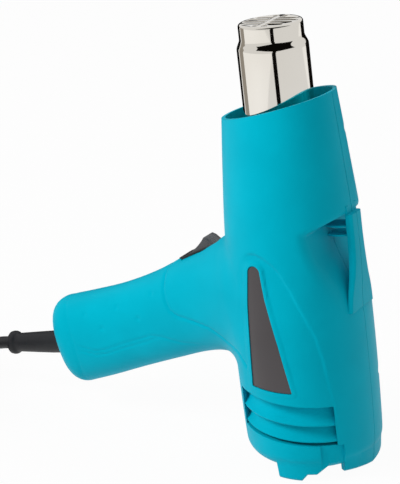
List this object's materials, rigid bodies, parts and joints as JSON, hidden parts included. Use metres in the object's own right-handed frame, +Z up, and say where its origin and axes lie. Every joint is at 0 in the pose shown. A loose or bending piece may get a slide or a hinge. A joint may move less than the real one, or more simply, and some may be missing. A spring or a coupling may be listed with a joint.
{
  "type": "hot air tool",
  "caption": "Mains hot air gun with a moulded clamshell housing, rocker switch, fan and heater behind a slotted steel blow tube, standing on its rear feet with its cord coiled beside it.",
  "frame": {"origin": "on the floor under the middle of the tool without its cord, midway between the ends of handle relief and barrel", "axes": "+Z up from the feet, the blow axis leaning back from it towards -X; -X towards the handle and its cord; the housing parts along Y = 0"},
  "size_m": [0.3478, 0.1392, 0.238],
  "materials": {
    "housing": "satin moulded polyamide, turquoise",
    "label": "dark grey film plate, bare",
    "chromed_steel": "polished bright steel",
    "mica": "rolled mica sheet",
    "ceramic": "unglazed steatite",
    "resistance_wire": "oxidised resistance wire",
    "inner_moulding": "glass-filled polyamide",
    "black_plastic": "satin black moulding",
    "motor_steel": "zinc plated steel",
    "magnet": "sintered ferrite",
    "bronze": "sintered bronze",
    "lamination": "stacked steel sheet",
    "copper": "turned copper bars",
    "carbon": "pressed carbon",
    "board": "green laminate",
    "rocker_plastic": "grey moulded rocker",
    "rubber": "soft moulded rubber",
    "cord_sheath": "extruded rubber sheath",
    "screw_steel": "zinc plated screws",
    "tie_fabric": "woven hook-and-loop strap",
    "pin_brass": "nickel plated brass"
  },
  "bodies": {
    "body": {"housing_left": "housing", "housing_right": "housing", "label_left": "label", "label_right": "label", "nozzle_tube": "chromed_steel", "mica_sleeve": "mica", "heater_core": "ceramic", "heater_winding": "resistance_wire", "heater_base": "mica", "thermal_cutoff": "ceramic", "air_duct": "inner_moulding", "motor_can": "motor_steel", "motor_end_bell": "black_plastic", "magnet_1": "magnet", "magnet_2": "magnet", "rear_bearing": "bronze", "front_bearing": "bronze", "carbon_brush_1": "carbon", "carbon_brush_2": "carbon", "rectifier_board": "board", "switch_body": "black_plastic", "terminal_block": "ceramic", "cord_relief": "rubber", "inner_cord": "cord_sheath", "clamp_bar": "black_plastic", "clamp_screw_1": "screw_steel", "clamp_screw_2": "screw_steel", "housing_screw_1": "screw_steel", "housing_screw_2": "screw_steel", "housing_screw_3": "screw_steel", "housing_screw_4": "screw_steel", "housing_screw_5": "screw_steel", "housing_screw_6": "screw_steel", "housing_screw_7": "screw_steel", "power_cord": "cord_sheath", "cord_coil": "cord_sheath", "cord_tail": "cord_sheath", "cord_tie": "tie_fabric", "plug": "rubber", "plug_pin_1": "pin_brass", "plug_pin_2": "pin_brass"},
    "rocker": {"rocker": "rocker_plastic"},
    "rotor": {"motor_shaft": "motor_steel", "armature": "lamination", "commutator": "copper", "fan_wheel": "black_plastic"}
  },
  "joints": [
    {"name": "rocker_tip", "type": "hinge", "parent": "body", "child": "rocker", "pos_m": [0.01344, 0, 0.10299], "axis": [0, 1, 0], "range_deg": [0, 20]},
    {"name": "rotor_spin", "type": "hinge", "parent": "body", "child": "rotor", "pos_m": [0.06969, 0, 0.07935], "axis": [-0.1274, 0, 0.9919], "continuous": true}
  ]
}
